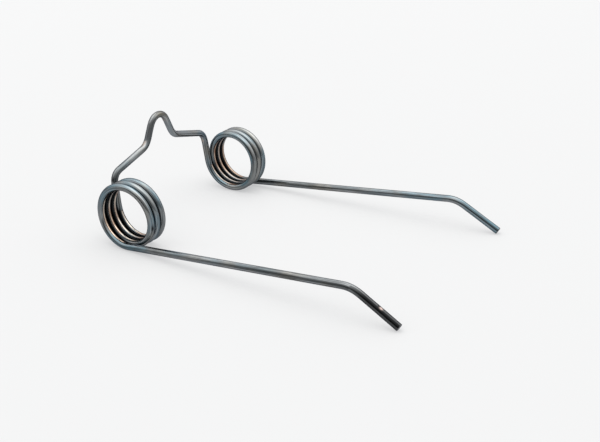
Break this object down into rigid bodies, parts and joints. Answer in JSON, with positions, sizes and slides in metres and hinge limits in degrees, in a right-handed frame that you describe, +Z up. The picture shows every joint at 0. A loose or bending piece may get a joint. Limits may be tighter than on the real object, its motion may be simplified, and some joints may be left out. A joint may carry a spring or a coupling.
{
  "type": "double torsion spring",
  "caption": "Double torsion spring bent from round wire: coils of opposite hand on one axis, long tines with down-turned tips, and a peaked loop between the coils for a fixing bolt.",
  "frame": {"origin": "under the middle of the spring's box, on the surface that the coils and the tips lie on", "axes": "+X along the tines towards their tips, Y along the common axis of the coils, +Z up towards the peak of the loop"},
  "size_m": [0.1826, 0.1184, 0.0581],
  "materials": {
    "spring_steel": "dark oil-tempered spring steel, satin, with faint draw lines and a straw to blue temper tint"
  },
  "bodies": {
    "root": {"double_torsion_spring": "spring_steel"}
  },
  "joints": []
}
